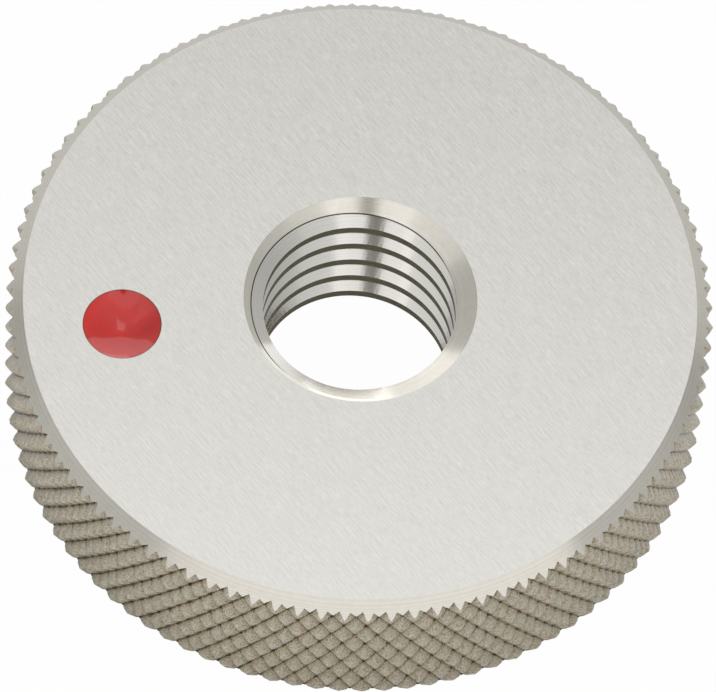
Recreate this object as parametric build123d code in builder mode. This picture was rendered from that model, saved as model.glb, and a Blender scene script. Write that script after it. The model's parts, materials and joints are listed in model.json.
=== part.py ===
from build123d import *
from build123d.topology import SkipClean
from math import ceil, cos, pi, radians, sin, tan
import os

# Solid thread ring gauge for an M12 x 1.75 screw: a hardened steel ring with a knurled rim and
# a threaded bore, and a lacquered dimple that marks it as the not-go member of its pair.
# Millimetres. The origin is the middle of the underside, and +Z runs along the bore.

# Blank
ring_diameter = 38.0
ring_thickness = 10.0
rim_chamfer = 0.95

# Diamond knurl on the rim. Two of its grooves cross at this azimuth and this height.
knurl_teeth = 96
knurl_angle = 31.0
knurl_depth = 0.42
knurl_azimuth = 2.45
knurl_cross_height = 4.8

# Thread, right-hand. Its crests are the bore, cut back as on every not-go ring, and the azimuth
# is where the middle of its groove leaves the underside.
thread_pitch = 1.75
thread_flank_angle = 60.0
thread_major_diameter = 12.1
bore_diameter = 10.4
thread_azimuth = 13.4

# Countersunk mouths of the bore
mouth_diameter = 12.52
mouth_depth = 0.58

# Marker dimple, a drill point sunk into the upper face, and the coat of lacquer that lines it
dimple_diameter = 4.22
dimple_point_angle = 118.0
dimple_inset = 5.19
lacquer_depth = 0.16

ring_radius = ring_diameter / 2
face_radius = ring_radius - rim_chamfer
bore_radius = bore_diameter / 2
mouth_radius = mouth_diameter / 2
dimple_radius = dimple_diameter / 2
dimple_offset = face_radius - dimple_inset
dimple_depth = dimple_radius / tan(radians(dimple_point_angle / 2))

# A knurl lozenge is one pitch wide along the rim and one rise tall.
knurl_pitch = pi * ring_diameter / knurl_teeth
knurl_rise = knurl_pitch / tan(radians(knurl_angle))
knurl_root_radius = ring_radius - knurl_depth
knurl_rows = ceil(ring_thickness / knurl_rise) + 1
knurl_steps = 2 * knurl_teeth

# The groove's flat root is an eighth of the pitch wide, as in every metric thread. The cutter
# reaches a little way into the empty bore.
groove_root_radius = thread_major_diameter / 2
groove_root_width = thread_pitch / 8
groove_mouth_radius = bore_radius - thread_pitch / 8
groove_mouth_width = groove_root_width + 2 * (groove_root_radius - groove_mouth_radius) * tan(
    radians(thread_flank_angle / 2)
)

# The bore and its groove are cut in slices and half turns, which keeps each face short.
bore_slices = 8
half_turns = 2 * ceil(ring_thickness / thread_pitch) + 4


def knurl_point(step, row, radius):
    """A point of the knurl's net, half a pitch round the rim per step and half a rise up per row."""
    azimuth = radians(knurl_azimuth + step * 360 / knurl_steps)
    height = knurl_cross_height + row * knurl_rise / 2
    return Vector(radius * cos(azimuth), radius * sin(azimuth), height)


def knurl_pyramid(step, row):
    """The four facets of one lozenge, which fall from its crest to where the grooves cross."""
    crest = knurl_point(step, row, ring_radius)
    roots = [
        knurl_point(step + 1, row, knurl_root_radius),
        knurl_point(step, row + 1, knurl_root_radius),
        knurl_point(step - 1, row, knurl_root_radius),
        knurl_point(step, row - 1, knurl_root_radius),
    ]
    return [
        Face(Wire.make_polygon([root, next_root, crest]))
        for root, next_root in zip(roots, roots[1:] + roots[:1])
    ]


def knurl_end(last_row, beyond_row):
    """Facets that close the knurled blank past one face, from its zigzag edge to the axis."""
    rows = [last_row, beyond_row]
    if last_row % 2:
        rows.reverse()
    edge = [knurl_point(step, rows[step % 2], knurl_root_radius) for step in range(knurl_steps)]
    centre = Vector(0, 0, knurl_point(0, beyond_row, knurl_root_radius).Z)
    return [
        Face(Wire.make_polygon([point, next_point, centre]))
        for point, next_point in zip(edge, edge[1:] + edge[:1])
    ]


def knurled_blank():
    """A solid as wide as the ring and taller than it, with pyramids all the way up its side."""
    facets = knurl_end(knurl_rows, knurl_rows + 1) + knurl_end(-knurl_rows, -knurl_rows - 1)
    for row in range(-knurl_rows, knurl_rows + 1):
        for step in range(knurl_steps):
            if (step + row) % 2:
                facets += knurl_pyramid(step, row)
    return Solid(Shell(facets))


def thread_groove_places():
    """Where each half turn of the groove starts, from a turn below the ring to a turn above it."""
    return [
        Location(
            (0, 0, (half_turn / 2 - 1) * thread_pitch),
            (0, 0, thread_azimuth + half_turn * 180),
        )
        for half_turn in range(half_turns)
    ]


# One slice of the bore, and half a turn of the thread's groove
with BuildPart() as bore_slice:
    Cylinder(
        bore_radius,
        ring_thickness,
        arc_size=360 / bore_slices,
        align=(Align.NONE, Align.NONE, Align.MIN),
    )

with BuildPart() as groove_half_turn:
    with BuildLine() as groove_path:
        Helix(pitch=thread_pitch, height=thread_pitch / 2, radius=bore_radius)
    with BuildSketch(Plane.XZ) as groove_section:
        with BuildLine():
            Polyline(
                (groove_mouth_radius, -groove_mouth_width / 2),
                (groove_root_radius, -groove_root_width / 2),
                (groove_root_radius, groove_root_width / 2),
                (groove_mouth_radius, groove_mouth_width / 2),
                close=True,
            )
        make_face()
    sweep(path=groove_path.wires()[0], is_frenet=True)

# Where a cone or a cylinder is held: by its lower end, or by its upper end
low_end = (Align.CENTER, Align.CENTER, Align.MIN)
high_end = (Align.CENTER, Align.CENTER, Align.MAX)
dimple_mouth = Location((-dimple_offset, 0, ring_thickness))

# The ring: faced and chamfered, bored, threaded, marked, and knurled last. The rim chamfers are
# flats, one for each half pitch of the knurl, so that each knurl facet ends on a straight edge.
# Skipping the merge of like faces keeps the bore in its slices.
with SkipClean(), BuildPart() as ring_body:
    with BuildSketch(Plane.XY.offset(ring_thickness / 2)) as widest_section:
        RegularPolygon(face_radius + ring_thickness / 2, knurl_steps, rotation=knurl_azimuth)
    extrude(amount=ring_thickness / 2, both=True, taper=45)
    with PolarLocations(0, bore_slices):
        add(bore_slice.part, mode=Mode.SUBTRACT)
    for mouth_plane in (Plane.XY, Plane.XY.offset(ring_thickness).rotated((180, 0, 0))):
        with Locations(mouth_plane):
            Cone(mouth_radius, bore_radius, mouth_depth, align=low_end, mode=Mode.SUBTRACT)
    with Locations(*thread_groove_places()):
        add(groove_half_turn.part, mode=Mode.SUBTRACT)
    with Locations(dimple_mouth):
        Cone(0, dimple_radius, dimple_depth, align=high_end, mode=Mode.SUBTRACT)
    add(knurled_blank(), mode=Mode.INTERSECT)
ring_body.part.label = "ring_body"

# The lacquer in the dimple: thickest over the drill point, and feathered out at the rim
with BuildPart() as red_marker:
    with Locations(dimple_mouth):
        Cone(0, dimple_radius, dimple_depth, align=high_end)
        Cone(0, dimple_radius, dimple_depth - lacquer_depth, align=high_end, mode=Mode.SUBTRACT)
red_marker.part.label = "red_marker"

os.makedirs("parts", exist_ok=True)
export_step(ring_body.part, "parts/ring_body.step")
export_step(red_marker.part, "parts/red_marker.step")
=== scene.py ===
import json
from math import atan2, ceil, cos, hypot, log2, pi, radians, sin, tan

import bmesh
import bpy
from mathutils import Matrix, Vector


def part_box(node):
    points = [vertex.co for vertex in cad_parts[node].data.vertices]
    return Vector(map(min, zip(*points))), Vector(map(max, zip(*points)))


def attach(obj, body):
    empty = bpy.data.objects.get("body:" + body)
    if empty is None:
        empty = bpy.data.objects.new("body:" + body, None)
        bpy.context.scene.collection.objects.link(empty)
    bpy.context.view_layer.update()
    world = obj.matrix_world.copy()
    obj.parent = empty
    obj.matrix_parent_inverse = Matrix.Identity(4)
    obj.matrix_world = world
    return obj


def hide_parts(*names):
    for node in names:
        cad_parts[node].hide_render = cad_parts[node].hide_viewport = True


# Solid thread ring gauge, M12 x 1.75, the not-go member of its pair: a knurled, ground and
# threaded steel ring with a red-lacquered dimple, lying on a white table. Lengths are in metres.

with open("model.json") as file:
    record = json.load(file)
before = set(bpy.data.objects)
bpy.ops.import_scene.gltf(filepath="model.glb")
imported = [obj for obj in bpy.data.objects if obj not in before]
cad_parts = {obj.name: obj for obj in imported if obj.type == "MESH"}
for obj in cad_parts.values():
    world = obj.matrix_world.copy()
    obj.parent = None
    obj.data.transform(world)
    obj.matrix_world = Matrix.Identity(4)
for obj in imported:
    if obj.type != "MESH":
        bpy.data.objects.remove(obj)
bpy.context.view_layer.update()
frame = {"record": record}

mm = 0.001

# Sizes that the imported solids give
ring_low, ring_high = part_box("ring_body")
marker_low, marker_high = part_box("red_marker")
thread_mount = next(m for m in frame["record"]["mounts"] if m["name"] == "thread")
ring_radius = (ring_high.x - ring_low.x) / 2
ring_thickness = ring_high.z - ring_low.z
mid_height = (ring_high.z + ring_low.z) / 2
bore_radius = thread_mount["dims"]["r_mm"] * mm
dimple_radius = (marker_high.x - marker_low.x) / 2
dimple_depth = marker_high.z - marker_low.z
dimple_x = (marker_high.x + marker_low.x) / 2

# Rim chamfers
rim_chamfer = 0.95 * mm

# Diamond knurl. Two of its grooves cross at the azimuth and height given here.
knurl_teeth = 96
knurl_angle = radians(31)
knurl_azimuth = radians(2.45)
knurl_cross_height = 4.8 * mm

# Depths below the blank's surface, at even steps from a groove to the middle of a tooth. One
# wheel has rolled deeper than the other, and the teeth are pyramids with slightly rounded tops,
# since the metal has not quite filled the wheels' grooves.
right_hand_groove = (0.456 * mm, 0.325 * mm, 0.2 * mm, 0.085 * mm, 0.01 * mm)
left_hand_groove = (0.41 * mm, 0.29 * mm, 0.18 * mm, 0.08 * mm, 0.01 * mm)
crossing_depth = 0.5 * mm

# How far each point of the knurl may lie from its true place, and the seed of that scatter
knurl_unevenness = 0.025 * mm
knurl_seed = 4

# Thread. The azimuth is where the middle of its groove leaves the underside.
thread_pitch = 1.75 * mm
thread_root_radius = 6.05 * mm
thread_root_width = thread_pitch / 8
thread_flank = radians(30)
thread_azimuth = radians(13.4)
# Width of the thin painted shadow along the lip where the thread's groove leaves a mouth
lip_shadow_width = 0.09 * mm

# Countersunk mouths of the bore
mouth_radius = 6.26 * mm
mouth_depth = 0.58 * mm
mouth_slope = mouth_depth / (mouth_radius - bore_radius)

# The lacquer's upper surface, from rim to middle: parts of the dimple's radius, and the film there
lacquer_profile = (
    (0.985, 0.002 * mm), (0.9, 0.012 * mm), (0.75, 0.057 * mm), (0.55, 0.136 * mm),
    (0.4, 0.206 * mm), (0.28, 0.271 * mm), (0.16, 0.348 * mm), (0.07, 0.42 * mm),
)

# The part of the dimple's radius from which a painted shadow darkens the lacquer towards its rim
rim_shadow_start = 0.965

# Segments of a full turn on the turned surfaces, the thread and the dimple
turned_segments = 288
thread_segments = 120
dimple_segments = 96

# How far a cutter reaches past what it cuts: past a face, and in turns of the thread
spare = 1 * mm
spare_turns = 2

# A face counts as level if its normal's z is over the first value, and as upright if it is under
# the second
level_normal = 0.9
upright_normal = 0.2

# Edges that turn by more than this stay sharp
ring_smoothing = radians(28)
lacquer_smoothing = radians(40)

# How far the middle of a mesh face may lie from the surface that it is counted to
face_margin = 0.01 * mm
chamfer_margin = 0.03 * mm
mouth_margin = 0.15 * mm
crest_margin = 0.05 * mm

# How its normal has to stand: how near to upright on the ring's faces, how near to 45 degrees on
# a rim chamfer, and its z on a mouth's cone and on the flank that runs out along it
face_normal_margin = 0.001
chamfer_normal_margin = 0.03
mouth_normal_least = 0.8
mouth_normal_most = 0.9

# Grinding scratches on the faces: their direction, and two sorts of length, width and seed. A
# real grit's scratch is 0.01 to 0.03 mm wide, which a pixel of the picture hides, so they are
# drawn several times as wide.
grinding_azimuth = radians(119.7)
grinding_scratches = ((0.4 * mm, 0.05 * mm, 3.1), (1.7 * mm, 0.09 * mm, 7.7))

# Feed marks of turning and of lapping, also drawn wider than the real 0.02 mm, and the blotches
# that polishing leaves on the turned steel
turning_feed = 0.09 * mm
lapping_mark = 0.08 * mm
polish_blotch = 0.35 * mm

# Hardening scale on the knurl: its grain and its patches of colour. Then the dirt and painted
# shade in the grooves:
# the depth below the crests at which they are darkest, and how far the grain makes their edge
# ragged.
scale_grain = 0.1 * mm
scale_patch = 0.3 * mm
shade_and_dirt_depth = 0.42 * mm
shade_and_dirt_raggedness = 0.35

# Brush ripples in the lacquer
lacquer_ripple = 1.2 * mm

# Camera, as the photograph was taken, and a lens hood just behind its place
camera_place = Vector((-46.379, -210.770, 397.720)) * mm
camera_target = Vector((0.041, -0.171, 5.0)) * mm
camera_roll = radians(4.8165)
camera_lens = 417.03
lens_hood_place = camera_place * 1.05
lens_hood_radius = 40 * mm
lens_hood_segments = 48

# Table, and how much of its even white the camera sees and the steel reflects
table_size = 3
white_seen = 0.98
white_reflected = 0.12

# Soft lamps: azimuth from +X and elevation in degrees, distance, width and height in metres, and
# brightness, where 1 is the picture's white
softboxes = (
    ("top_softbox", 70, 78, 0.5, 0.27, 0.27, 0.85),
    ("back_softbox", 80, 14, 1.2, 1.5, 0.72, 0.7),
    ("low_softbox", 77, 5, 1.3, 0.5, 0.22, 0.7),
    ("front_softbox", 266, 26, 1.1, 2.6, 0.36, 0.5),
    ("left_softbox", 190, 46, 1.0, 0.7, 0.6, 0.2),
    ("right_softbox", 312, 50, 1.0, 0.5, 0.5, 0.1),
    ("camera_softbox", 257, 60, 0.8, 0.64, 0.45, 0.36),
)
key_softbox = ("key_softbox", 325, 36, 1.0, 0.35, 0.35, 9)


def deselect_all():
    if bpy.context.mode != "OBJECT":
        bpy.ops.object.mode_set(mode="OBJECT")
    bpy.ops.object.select_all(action="DESELECT")


def choose(piece):
    deselect_all()
    piece.select_set(True)
    bpy.context.view_layer.objects.active = piece


def new_piece(name, add_primitive, **settings):
    """Add a primitive with nothing else selected, name it, and put its place into its mesh."""
    deselect_all()
    add_primitive(**settings)
    piece = bpy.context.active_object
    piece.name = name
    choose(piece)
    bpy.ops.object.transform_apply(location=True, rotation=True, scale=True)
    return piece


def select_in(piece, kind, wanted):
    """Open the piece in edit mode with only the wanted faces, edges or vertices selected."""
    choose(piece)
    bpy.ops.object.mode_set(mode="EDIT")
    bpy.ops.mesh.select_mode(type=kind)
    bpy.ops.mesh.select_all(action="DESELECT")
    mesh = bmesh.from_edit_mesh(piece.data)
    for element in {"VERT": mesh.verts, "EDGE": mesh.edges, "FACE": mesh.faces}[kind]:
        if wanted(element):
            element.select_set(True)
    bmesh.update_edit_mesh(piece.data)


def extrude_up(height):
    """Extrude what is selected straight up, or down for a height below zero."""
    bpy.ops.mesh.extrude_region_move(TRANSFORM_OT_translate={"value": (0, 0, height)})


def scale_about_axis(factor, centre=(0, 0, 0)):
    """Move what is selected towards or away from a vertical axis."""
    bpy.ops.transform.resize(value=(factor, factor, 1), center_override=centre)


def turn_outwards():
    """Make the whole mesh that is open in edit mode face outwards."""
    bpy.ops.mesh.select_all(action="SELECT")
    bpy.ops.mesh.normals_make_consistent(inside=False)


def apply_modifier(piece, kind, **settings):
    choose(piece)
    modifier = piece.modifiers.new(kind.title(), kind)
    for key, value in settings.items():
        setattr(modifier, key, value)
    bpy.ops.object.modifier_apply(modifier=modifier.name)


def combine(piece, tool, operation):
    """Cut the tool out of the piece, or keep what both hold, and throw the tool away."""
    apply_modifier(piece, "BOOLEAN", operation=operation, solver="EXACT", object=tool)
    bpy.data.objects.remove(tool)


def distance_from_axis(point):
    return hypot(point.x, point.y)


# The knurled rim

def knurled_sleeve():
    """A closed sleeve of diamond teeth that stands past both faces of the ring.

    The side of a prism is cut into square cells, each cell is poked, and the cells' edges are
    split. The corners and the poked middles are where two grooves cross, and the middles of the
    edges are the middles of the teeth. Each tooth is then divided evenly, and its points are
    sunk by how far they are from a groove of either hand.
    """
    cell_height = 2 * pi * ring_radius / knurl_teeth / tan(knurl_angle)
    steps = len(right_hand_groove) - 1

    # An even number of rows puts a row of corners at the crossing's height.
    rows = 2 * ceil(ring_thickness / cell_height / 2 + 1)
    sleeve = new_piece(
        "knurled_ring", bpy.ops.mesh.primitive_cylinder_add,
        vertices=knurl_teeth, radius=ring_radius, depth=rows * cell_height,
        location=(0, 0, knurl_cross_height), rotation=(0, 0, knurl_azimuth),
    )

    def row(vert):
        """How many cells the vertex is above the crossing, a whole number at the corners."""
        return (vert.co.z - knurl_cross_height) / cell_height

    def on_corner_row(vert):
        """Whether the vertex is on a row of corners, and not on a row of poked middles."""
        return abs(row(vert) - round(row(vert))) < 0.1

    select_in(sleeve, "EDGE", lambda e: abs(row(e.verts[0]) - row(e.verts[1])) > 1)
    bpy.ops.mesh.subdivide(number_cuts=rows - 1)
    select_in(sleeve, "FACE", lambda f: len(f.verts) == 4)
    bpy.ops.mesh.poke()
    select_in(sleeve, "EDGE", lambda e: on_corner_row(e.verts[0]) and on_corner_row(e.verts[1]))
    bpy.ops.mesh.subdivide(number_cuts=1, ngon=False)
    select_in(sleeve, "FACE", lambda f: abs(f.normal.z) < level_normal)
    for halving in range(round(log2(steps))):
        # Each pass halves the steps between a groove and the middle of a tooth.
        bpy.ops.mesh.subdivide(number_cuts=1, ngon=False)
    bpy.ops.object.mode_set(mode="OBJECT")

    def steps_from_grooves(vert):
        """Steps to the nearest groove of the right-hand and of the left-hand family."""
        along = (atan2(vert.co.y, vert.co.x) - knurl_azimuth) * knurl_teeth / 2 / pi
        places = (along - row(vert), along + row(vert))
        return tuple(round(2 * steps * abs(place - round(place))) for place in places)

    groups = {}
    for vert in sleeve.data.vertices:
        groups.setdefault(steps_from_grooves(vert), []).append(distance_from_axis(vert.co))
    for group, radii in groups.items():
        depth = max(right_hand_groove[group[0]], left_hand_groove[group[1]])
        if group == (0, 0):
            depth = crossing_depth
        select_in(sleeve, "VERT", lambda v: steps_from_grooves(v) == group)
        scale_about_axis((ring_radius - depth) / max(radii))

    # The sleeve's ends stay as they are, because they only close it past the ring's faces.
    select_in(sleeve, "VERT", lambda v: abs(row(v)) < rows / 2 - 0.5)
    bpy.ops.transform.vertex_random(
        offset=knurl_unevenness, uniform=0, normal=0, seed=knurl_seed
    )
    bpy.ops.object.mode_set(mode="OBJECT")
    return sleeve


def chamfered_disc():
    """The ring's two faces and its rim chamfers, on a disc wider than the knurl.

    It is turned a little, so that no edge of it lies on an edge of the knurl.
    """
    disc = new_piece(
        "chamfered_disc", bpy.ops.mesh.primitive_cylinder_add,
        vertices=turned_segments, radius=ring_radius + spare, depth=ring_thickness,
        location=(0, 0, mid_height), rotation=(0, 0, knurl_azimuth / 3),
    )
    select_in(disc, "EDGE", lambda e: abs(e.verts[0].co.z - e.verts[1].co.z) < spare)
    bpy.ops.mesh.bevel(offset=rim_chamfer + spare, segments=1, affect="EDGES")
    bpy.ops.object.mode_set(mode="OBJECT")
    return disc


# The threaded bore

def bore_cutter():
    """A spindle as thick as the thread's crests, which widens into both countersunk mouths."""
    cutter = new_piece(
        "bore_cutter", bpy.ops.mesh.primitive_cylinder_add,
        vertices=turned_segments, radius=bore_radius, depth=ring_thickness - 2 * mouth_depth,
        location=(0, 0, mid_height),
    )
    for side in (1, -1):
        radius = bore_radius
        for height in (mouth_depth, spare):
            new_radius = radius + height / mouth_slope
            select_in(cutter, "FACE", lambda f: f.normal.z * side > level_normal)
            extrude_up(side * height)
            scale_about_axis(new_radius / radius)
            radius = new_radius
    bpy.ops.object.mode_set(mode="OBJECT")
    return cutter


def thread_cutter():
    """The right-hand helical groove between the crests, as one long curled bar."""
    turns = ceil(ring_thickness / thread_pitch) + 2 * spare_turns
    inner_radius = bore_radius - thread_pitch / 8
    depth = thread_root_radius - inner_radius
    middle = inner_radius + depth / 2
    bar = new_piece(
        "thread_cutter", bpy.ops.mesh.primitive_plane_add,
        size=depth, location=(middle, 0, 0), rotation=(pi / 2, 0, 0),
    )
    inner_width = thread_root_width + 2 * depth * tan(thread_flank)
    for width, side in ((thread_root_width, 1), (inner_width, -1)):
        select_in(bar, "VERT", lambda v: (v.co.x - middle) * side > 0)
        bpy.ops.transform.resize(value=(1, 1, width / depth), center_override=(0, 0, 0))
    bpy.ops.mesh.select_all(action="SELECT")
    bpy.ops.transform.rotate(value=-thread_azimuth, orient_axis="Z", center_override=(0, 0, 0))
    bpy.ops.transform.translate(value=(0, 0, -spare_turns * thread_pitch))
    bpy.ops.object.mode_set(mode="OBJECT")
    apply_modifier(
        bar, "SCREW", angle=2 * pi * turns, screw_offset=thread_pitch * turns,
        steps=thread_segments * turns, render_steps=thread_segments * turns,
    )
    select_in(bar, "EDGE", lambda e: e.is_boundary)
    bpy.ops.mesh.fill_holes(sides=4)
    turn_outwards()
    bpy.ops.object.mode_set(mode="OBJECT")
    return bar


# The marker dimple

def drill_point_cutter():
    """The cone of the drill point that sinks the dimple, going on upwards past the face."""
    reach = 1 + spare / dimple_depth
    cutter = new_piece(
        "drill_point_cutter", bpy.ops.mesh.primitive_cone_add,
        vertices=dimple_segments, radius1=0, radius2=dimple_radius * reach,
        depth=dimple_depth * reach,
        location=(dimple_x, 0, ring_high.z - dimple_depth + dimple_depth * reach / 2),
    )
    select_in(cutter, "FACE", lambda f: f.normal.z > level_normal)
    extrude_up(spare)
    bpy.ops.object.mode_set(mode="OBJECT")
    return cutter


def lacquer_in_dimple():
    """The coat of lacquer on the dimple's wall: thin at the rim, pooled over the point."""
    coat = new_piece(
        "lacquer_in_dimple", bpy.ops.mesh.primitive_cone_add,
        vertices=dimple_segments, radius1=0, radius2=dimple_radius, depth=dimple_depth,
        location=(dimple_x, 0, ring_high.z - dimple_depth / 2),
    )
    centre = (dimple_x, 0, ring_high.z)
    radius, level = dimple_radius, 0
    for reach, film in lacquer_profile:
        new_radius = dimple_radius * reach
        new_level = film - dimple_depth * (1 - reach)
        select_in(coat, "FACE", lambda f: len(f.verts) == dimple_segments)
        extrude_up(new_level - level)
        scale_about_axis(new_radius / radius, centre)
        radius, level = new_radius, new_level
    bpy.ops.mesh.poke(offset=0)
    turn_outwards()
    bpy.ops.object.mode_set(mode="OBJECT")
    return coat


# Building the pieces

ring = knurled_sleeve()
combine(ring, chamfered_disc(), "INTERSECT")
combine(ring, bore_cutter(), "DIFFERENCE")
combine(ring, thread_cutter(), "DIFFERENCE")
combine(ring, drill_point_cutter(), "DIFFERENCE")
lacquer = lacquer_in_dimple()

# Materials

def srgb(hex_colour):
    """A colour written as sRGB hex, as the linear values that a shader takes."""
    parts = [int(hex_colour[i:i + 2], 16) / 255 for i in (0, 2, 4)]
    linear = [c / 12.92 if c <= 0.04045 else ((c + 0.055) / 1.055) ** 2.4 for c in parts]
    return (*linear, 1)


def add_node(tree, kind, inputs=(), **settings):
    """Add a node, set what it is told, and link or fill its inputs by name or number."""
    node = tree.nodes.new(kind)
    for key, value in settings.items():
        setattr(node, key, value)
    for key, value in dict(inputs).items():
        if isinstance(value, bpy.types.NodeSocket):
            tree.links.new(value, node.inputs[key])
        else:
            node.inputs[key].default_value = value
    return node


def set_ramp(node, *stops):
    """Give a colour ramp its stops, each a place from 0 to 1 and an sRGB hex colour."""
    elements = node.color_ramp.elements
    while len(elements) < len(stops):
        elements.new(0.5)
    for element, (place, colour) in zip(elements, stops):
        element.position = place
        element.color = srgb(colour)


def new_material(name):
    """An empty material and its node tree."""
    material = bpy.data.materials.new(name)
    material.use_nodes = True
    material.node_tree.nodes.clear()
    return material, material.node_tree


def set_surface(tree, colour, height, strength, depth, finish):
    """Finish a material with its colour, a relief that follows a height, and its gloss."""
    bump = add_node(
        tree, "ShaderNodeBump", {"Height": height, "Strength": strength, "Distance": depth},
    )
    shader = add_node(
        tree, "ShaderNodeBsdfPrincipled",
        {"Base Color": colour, "Normal": bump.outputs["Normal"], **finish},
    )
    add_node(tree, "ShaderNodeOutputMaterial", {"Surface": shader.outputs["BSDF"]})


def add_distance_from_axis(tree, place):
    """Add the nodes that give how far a place is from the Z axis."""
    flat = add_node(
        tree, "ShaderNodeVectorMath", {0: place, 1: (1, 1, 0)}, operation="MULTIPLY",
    ).outputs["Vector"]
    return add_node(
        tree, "ShaderNodeVectorMath", {0: flat}, operation="LENGTH",
    ).outputs["Value"]


def surface_ground_steel():
    """Hardened tool steel, surface ground: short straight scratches all one way, satin grey."""
    material, tree = new_material("surface_ground_tool_steel")
    place = add_node(tree, "ShaderNodeTexCoord").outputs["Object"]
    along = add_node(
        tree, "ShaderNodeMapping", {"Vector": place, "Rotation": (0, 0, -grinding_azimuth)},
    ).outputs["Vector"]
    lines = []
    for length, width, seed in grinding_scratches:
        scale = (1 / length, 1 / width, 1 / width)
        stretched = add_node(
            tree, "ShaderNodeMapping",
            {"Vector": along, "Scale": scale, "Location": (seed, seed, 0)},
        ).outputs["Vector"]
        lines.append(add_node(
            tree, "ShaderNodeTexNoise",
            {"Vector": stretched, "Scale": 1, "Detail": 3, "Roughness": 0.6},
            noise_dimensions="2D",
        ).outputs["Fac"])
    fine, coarse = lines
    both = add_node(
        tree, "ShaderNodeMix", {"Factor": 0.45, "A": fine, "B": coarse}, data_type="FLOAT",
    ).outputs["Result"]
    tone = add_node(tree, "ShaderNodeValToRGB", {"Fac": both})
    set_ramp(tone, (0.36, "C2C0BB"), (0.5, "CCCAC5"), (0.64, "D6D4D0"))
    rough = add_node(
        tree, "ShaderNodeMapRange",
        {"Value": both, "From Min": 0.35, "From Max": 0.65, "To Min": 0.28, "To Max": 0.36},
    ).outputs["Result"]
    set_surface(
        tree, tone.outputs["Color"], both, strength=0.5, depth=0.003 * mm,
        finish={"Metallic": 1, "Roughness": rough},
    )
    return material


def thread_edge_painted_shadow(tree, split, radius):
    """The share of a painted shadow line, 0 to 1, along the edge where the thread's upper flank
    leaves a mouth.
    The split is the place's X, Y and Z, and the radius its distance from the axis."""
    rise = thread_pitch / 2 / pi
    slope = tan(thread_flank)
    turn = add_node(
        tree, "ShaderNodeMath", {0: split["Y"], 1: split["X"]}, operation="ARCTAN2",
    ).outputs["Value"]
    lead = add_node(
        tree, "ShaderNodeMath", {0: turn, 1: -rise, 2: thread_azimuth * rise},
        operation="MULTIPLY_ADD",
    ).outputs["Value"]
    above_groove = add_node(
        tree, "ShaderNodeMath", {0: split["Z"], 1: lead}, operation="ADD",
    ).outputs["Value"]
    half_width = add_node(
        tree, "ShaderNodeMath",
        {0: radius, 1: -slope, 2: thread_root_width / 2 + thread_root_radius * slope},
        operation="MULTIPLY_ADD",
    ).outputs["Value"]
    above_flank = add_node(
        tree, "ShaderNodeMath", {0: above_groove, 1: half_width}, operation="SUBTRACT",
    ).outputs["Value"]
    off_edge = add_node(
        tree, "ShaderNodeMath", {0: above_flank, 1: thread_pitch / 2}, operation="PINGPONG",
    ).outputs["Value"]
    on_edge = add_node(
        tree, "ShaderNodeMapRange",
        {
            "Value": off_edge, "From Min": lip_shadow_width / 2, "From Max": lip_shadow_width,
            "To Min": 1, "To Max": 0,
        },
    ).outputs["Result"]
    in_bore = add_node(
        tree, "ShaderNodeMath", {0: radius, 1: thread_root_radius}, operation="LESS_THAN",
    ).outputs["Value"]
    return add_node(
        tree, "ShaderNodeMath", {0: on_edge, 1: in_bore}, operation="MULTIPLY",
    ).outputs["Value"]


def turned_steel():
    """Hardened tool steel, turned and then lightly polished: fine rings round the bore's axis."""
    material, tree = new_material("turned_tool_steel")
    place = add_node(tree, "ShaderNodeTexCoord").outputs["Object"]
    split = add_node(tree, "ShaderNodeSeparateXYZ", {"Vector": place}).outputs
    radius = add_distance_from_axis(tree, place)
    rings = add_node(
        tree, "ShaderNodeCombineXYZ", {"X": radius, "Y": split["Z"]},
    ).outputs["Vector"]
    marks = add_node(
        tree, "ShaderNodeTexNoise",
        {"Vector": rings, "Scale": 1 / turning_feed, "Detail": 2, "Roughness": 0.6},
        noise_dimensions="2D",
    ).outputs["Fac"]
    blotches = add_node(
        tree, "ShaderNodeTexNoise", {"Vector": place, "Scale": 1 / polish_blotch, "Detail": 3},
    ).outputs["Fac"]
    both = add_node(
        tree, "ShaderNodeMix", {"Factor": 0.35, "A": marks, "B": blotches}, data_type="FLOAT",
    ).outputs["Result"]
    tone = add_node(tree, "ShaderNodeValToRGB", {"Fac": both})
    set_ramp(tone, (0.3, "D0CBC0"), (0.5, "D6D2C8"), (0.7, "DCD8D0"))
    # Painted shadow: a thin dark line along the lip where the thread's groove cuts into a mouth
    lip_shadow = thread_edge_painted_shadow(tree, split, radius)
    colour = add_node(
        tree, "ShaderNodeMix",
        {"Factor": lip_shadow, "A": tone.outputs["Color"], "B": srgb("3E3930")}, data_type="RGBA",
    ).outputs["Result"]
    set_surface(
        tree, colour, marks, strength=0.2, depth=0.0008 * mm,
        finish={"Metallic": 1, "Roughness": 0.18},
    )
    return material


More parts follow.
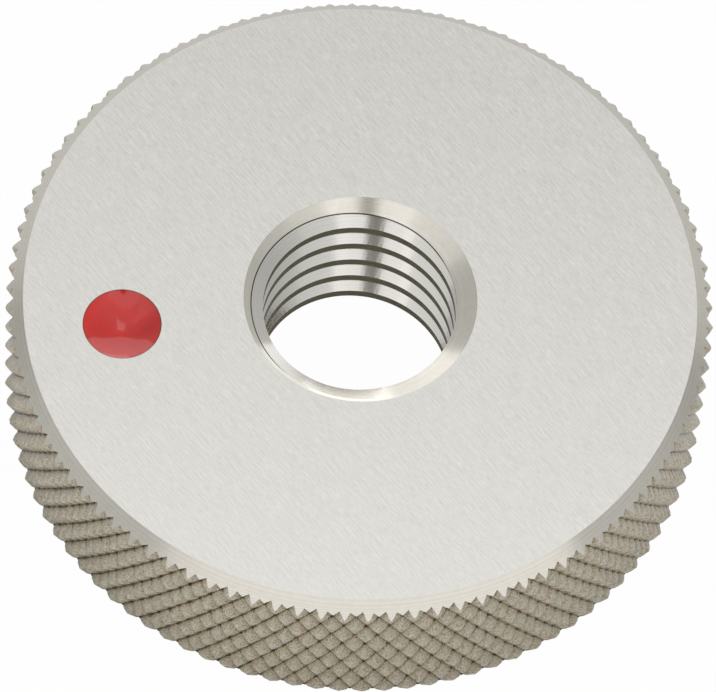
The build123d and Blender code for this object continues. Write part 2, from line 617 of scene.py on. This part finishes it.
def knurled_steel():
    """Tool steel with a rolled knurl: olive-grey hardening scale, and dirt with painted shade in
    the grooves, darker towards their bottoms.
    """
    material, tree = new_material("knurled_tool_steel")
    place = add_node(tree, "ShaderNodeTexCoord").outputs["Object"]
    radius = add_distance_from_axis(tree, place)
    height = add_node(
        tree, "ShaderNodeMapRange",
        {"Value": radius, "From Min": ring_radius - shade_and_dirt_depth, "From Max": ring_radius},
        clamp=False,
    ).outputs["Result"]
    grain = add_node(
        tree, "ShaderNodeTexNoise",
        {"Vector": place, "Scale": 1 / scale_grain, "Detail": 4, "Roughness": 0.7},
    ).outputs["Fac"]
    tone = add_node(tree, "ShaderNodeValToRGB", {"Fac": grain})
    set_ramp(tone, (0.27, "544D40"), (0.42, "C0B9A9"), (0.7, "F4EFE4"))
    patches = add_node(
        tree, "ShaderNodeTexNoise", {"Vector": place, "Scale": 1 / scale_patch, "Detail": 2},
    ).outputs["Fac"]
    tint = add_node(tree, "ShaderNodeValToRGB", {"Fac": patches})
    set_ramp(tint, (0.35, "FFF3E8"), (0.5, "FFFFFF"), (0.65, "F8FBEC"))
    level = add_node(
        tree, "ShaderNodeMath", {0: grain, 1: shade_and_dirt_raggedness, 2: height},
        operation="MULTIPLY_ADD",
    ).outputs["Value"]
    # Painted shade and some dirt: the colour darkens from the crests down to the groove bottoms,
    # where shade falls.
    groove_shade_and_dirt = add_node(tree, "ShaderNodeValToRGB", {"Fac": level})
    set_ramp(
        groove_shade_and_dirt,
        (0.0, "2C2820"), (0.07, "766E5E"), (0.16, "C4BDAF"), (0.38, "E8E5DE"), (0.9, "FFFFFF"),
    )
    colour = tone.outputs["Color"]
    for layer in (tint, groove_shade_and_dirt):
        colour = add_node(
            tree, "ShaderNodeMix", {"Factor": 1.0, "A": colour, "B": layer.outputs["Color"]},
            data_type="RGBA", blend_type="MULTIPLY",
        ).outputs["Result"]
    set_surface(
        tree, colour, grain, strength=0.5, depth=0.01 * mm,
        finish={"Metallic": 1, "Roughness": 0.2},
    )
    return material


def tapped_steel():
    """Tool steel, thread cut and lapped: bright flanks with fine marks that run round the bore."""
    material, tree = new_material("lapped_thread_steel")
    place = add_node(tree, "ShaderNodeTexCoord").outputs["Object"]
    radius = add_distance_from_axis(tree, place)
    rings = add_node(tree, "ShaderNodeCombineXYZ", {"X": radius}).outputs["Vector"]
    marks = add_node(
        tree, "ShaderNodeTexNoise",
        {"Vector": rings, "Scale": 1 / lapping_mark, "Detail": 3, "Roughness": 0.65},
        noise_dimensions="2D",
    ).outputs["Fac"]
    tone = add_node(tree, "ShaderNodeValToRGB", {"Fac": marks})
    set_ramp(tone, (0.3, "CCCAC3"), (0.5, "D2D0CA"), (0.7, "D8D7D2"))
    set_surface(
        tree, tone.outputs["Color"], marks, strength=0.3, depth=0.001 * mm,
        finish={"Metallic": 1, "Roughness": 0.14},
    )
    return material


def ground_crest_steel_painted_shade():
    """Tool steel, the thread's crests ground back to the not-go bore: matt, with a dark olive-grey
    tone that is painted shade for the shadowed bore they reflect.
    """
    material, tree = new_material("ground_crest_steel_painted_shade")
    place = add_node(tree, "ShaderNodeTexCoord").outputs["Object"]

    # Squeezing X and Y draws the marks out sideways.
    squeezed = add_node(
        tree, "ShaderNodeMapping", {"Vector": place, "Scale": (0.15, 0.15, 1)},
    ).outputs["Vector"]
    marks = add_node(
        tree, "ShaderNodeTexNoise",
        {"Vector": squeezed, "Scale": 1 / lapping_mark, "Detail": 3, "Roughness": 0.6},
    ).outputs["Fac"]
    # Painted shade: the crests' dark tone stands in for the shadowed bore that they mirror
    tone = add_node(tree, "ShaderNodeValToRGB", {"Fac": marks})
    set_ramp(tone, (0.35, "89826C"), (0.65, "9F9882"))
    set_surface(
        tree, tone.outputs["Color"], marks, strength=0.4, depth=0.004 * mm,
        finish={"Metallic": 1, "Roughness": 0.38},
    )
    return material


def red_enamel():
    """Red enamel lacquer, brushed on thick: wet gloss, and a painted shadow darkening its
    feathered rim.
    """
    material, tree = new_material("red_enamel_lacquer")
    place = add_node(tree, "ShaderNodeTexCoord").outputs["Object"]
    ripple = add_node(
        tree, "ShaderNodeTexNoise", {"Vector": place, "Scale": 1 / lacquer_ripple, "Detail": 2},
    ).outputs["Fac"]
    tone = add_node(tree, "ShaderNodeValToRGB", {"Fac": ripple})
    set_ramp(tone, (0.3, "AC0E05"), (0.7, "BC180C"))
    from_middle = add_node(
        tree, "ShaderNodeVectorMath", {0: place, 1: (-dimple_x, 0, 0)}, operation="ADD",
    ).outputs["Vector"]
    # Painted shadow: a thin dark ring where the lacquer meets the dimple's edge
    rim_shadow = add_node(
        tree, "ShaderNodeMapRange",
        {
            "Value": add_distance_from_axis(tree, from_middle),
            "From Min": rim_shadow_start * dimple_radius,
            "From Max": lacquer_profile[0][0] * dimple_radius,
        },
    ).outputs["Result"]
    colour = add_node(
        tree, "ShaderNodeMix",
        {"Factor": rim_shadow, "A": tone.outputs["Color"], "B": srgb("6A2A22")}, data_type="RGBA",
    ).outputs["Result"]
    set_surface(
        tree, colour, ripple, strength=0.3, depth=0.02 * mm,
        finish={"Roughness": 0.1, "IOR": 1.65},
    )
    return material


def white_table():
    """Matt white board. The camera sees it as near white, and the steel sees it mostly as the
    lamps light it. It keeps the ring's shadow."""
    material, tree = new_material("white_table")
    rays = add_node(tree, "ShaderNodeLightPath").outputs
    mirrored = add_node(
        tree, "ShaderNodeMath", {0: rays["Is Glossy Ray"], 1: rays["Is Transmission Ray"]},
        operation="MAXIMUM",
    ).outputs["Value"]
    mirrored_white = add_node(
        tree, "ShaderNodeMath", {0: mirrored, 1: white_reflected}, operation="MULTIPLY",
    ).outputs["Value"]
    share = add_node(
        tree, "ShaderNodeMath", {0: rays["Is Camera Ray"], 1: white_seen, 2: mirrored_white},
        operation="MULTIPLY_ADD",
    ).outputs["Value"]
    board = add_node(
        tree, "ShaderNodeBsdfDiffuse", {"Color": srgb("D0D0D0"), "Roughness": 0.5},
    ).outputs["BSDF"]
    glow = add_node(
        tree, "ShaderNodeEmission", {"Color": srgb("FFFFFF"), "Strength": 1.0},
    ).outputs["Emission"]
    mixed = add_node(tree, "ShaderNodeMixShader", {0: share, 1: board, 2: glow})
    add_node(tree, "ShaderNodeOutputMaterial", {"Surface": mixed.outputs["Shader"]})
    return material


def grey_lens_hood():
    """Matt grey paint, with no gloss of its own."""
    material, tree = new_material("grey_lens_hood")
    paint = add_node(tree, "ShaderNodeBsdfDiffuse", {"Color": srgb("7E786E")})
    add_node(tree, "ShaderNodeOutputMaterial", {"Surface": paint.outputs["BSDF"]})
    return material


# Which face of the ring was made how

finishes = (surface_ground_steel, turned_steel, knurled_steel, tapped_steel, ground_crest_steel_painted_shade)


def finish_of(face):
    """The finish of one face of the ring, from its place and its normal."""
    centre, normal = face.center, face.normal
    radius = distance_from_axis(centre)
    outward = (normal.x * centre.x + normal.y * centre.y) / radius
    depth = min(ring_high.z - centre.z, centre.z - ring_low.z)
    if abs(normal.z) > 1 - face_normal_margin and depth < face_margin:
        return surface_ground_steel
    if radius > (ring_radius + mouth_radius) / 2:
        off_chamfer = abs(radius - depth - (ring_radius - rim_chamfer))
        leaning = abs(outward - cos(pi / 4))
        on_chamfer = off_chamfer < chamfer_margin and leaning < chamfer_normal_margin
        return turned_steel if on_chamfer else knurled_steel
    off_mouth = abs(depth - (mouth_radius - radius) * mouth_slope)
    like_mouth = mouth_normal_least < abs(normal.z) < mouth_normal_most and outward < 0
    if depth < mouth_depth and off_mouth < mouth_margin and like_mouth:
        return turned_steel
    on_crest = abs(normal.z) < upright_normal and radius < bore_radius + crest_margin
    return ground_crest_steel_painted_shade if on_crest else tapped_steel


for make_finish in finishes:
    ring.data.materials.append(make_finish())
for face in ring.data.polygons:
    face.material_index = finishes.index(finish_of(face))
lacquer.data.materials.append(red_enamel())

choose(ring)
bpy.ops.object.shade_smooth_by_angle(angle=ring_smoothing)
choose(lacquer)
bpy.ops.object.shade_smooth_by_angle(angle=lacquer_smoothing)

for piece, node, slot in (
    (ring, "ring_body", "ground_steel"), (lacquer, "red_marker", "red_lacquer"),
):
    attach(piece, "root")
    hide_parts(node)


# Table, light and camera

table = new_piece(
    "table", bpy.ops.mesh.primitive_plane_add, size=table_size, location=(0, 0, ring_low.z),
)
table.data.materials.append(white_table())

scene = bpy.context.scene
scene.view_settings.view_transform = "Standard"

# A white tent, from the horizon up to straight above
world = bpy.data.worlds.new("soft_studio")
world.use_nodes = True
scene.world = world
sky = world.node_tree
sky.nodes.clear()
direction = add_node(sky, "ShaderNodeTexCoord").outputs["Generated"]
upwards = add_node(sky, "ShaderNodeSeparateXYZ", {"Vector": direction}).outputs["Z"]
tent = add_node(sky, "ShaderNodeValToRGB", {"Fac": upwards})
set_ramp(tent, (0.0, "A6A6A6"), (0.22, "D6D6D6"), (0.6, "C8C8C8"), (0.88, "EEEEEE"))
room = add_node(sky, "ShaderNodeBackground", {"Color": tent.outputs["Color"], "Strength": 1.0})
add_node(sky, "ShaderNodeOutputWorld", {"Surface": room.outputs["Background"]})


def add_softbox(name, azimuth, elevation, distance, width, height, brightness):
    """An area lamp that faces the ring's bore."""
    a, e = radians(azimuth), radians(elevation)
    towards = Vector((cos(a) * cos(e), sin(a) * cos(e), sin(e)))
    lamp = bpy.data.lights.new(name, "AREA")
    lamp.shape = "RECTANGLE"
    lamp.size = width
    lamp.size_y = height
    lamp.energy = brightness * pi * width * height
    body = bpy.data.objects.new(name, lamp)
    body.location = towards * distance
    body.rotation_mode = "QUATERNION"
    body.rotation_quaternion = towards.to_track_quat("Z", "Y")
    scene.collection.objects.link(body)
    return body


for softbox in softboxes:
    add_softbox(*softbox)

# The key lights the table and the lacquer from the right. No gloss mirrors it, which keeps
# white spots off the thread's flanks.
key = add_softbox(*key_softbox)
key.visible_glossy = False

# The camera's own front, darker than the tent, which the steel reflects as narrow streaks
lens_hood = new_piece(
    "lens_hood", bpy.ops.mesh.primitive_circle_add,
    vertices=lens_hood_segments, radius=lens_hood_radius, fill_type="NGON",
    location=lens_hood_place, rotation=camera_place.to_track_quat("Z", "Y").to_euler(),
)
lens_hood.data.materials.append(grey_lens_hood())
lens_hood.visible_camera = False
lens_hood.visible_diffuse = False
lens_hood.visible_shadow = False

camera = bpy.data.objects.new("camera", bpy.data.cameras.new("camera"))
scene.collection.objects.link(camera)
camera.location = camera_place
view_direction = camera_target - camera_place
camera.rotation_mode = "QUATERNION"
camera.rotation_quaternion = (
    view_direction.to_track_quat("-Z", "Y")
    @ Matrix.Rotation(camera_roll, 3, "Z").to_quaternion()
)
camera.data.sensor_fit = "HORIZONTAL"
camera.data.sensor_width = 36
camera.data.lens = camera_lens
camera.data.clip_start = 0.01
camera.data.clip_end = 20
scene.camera = camera
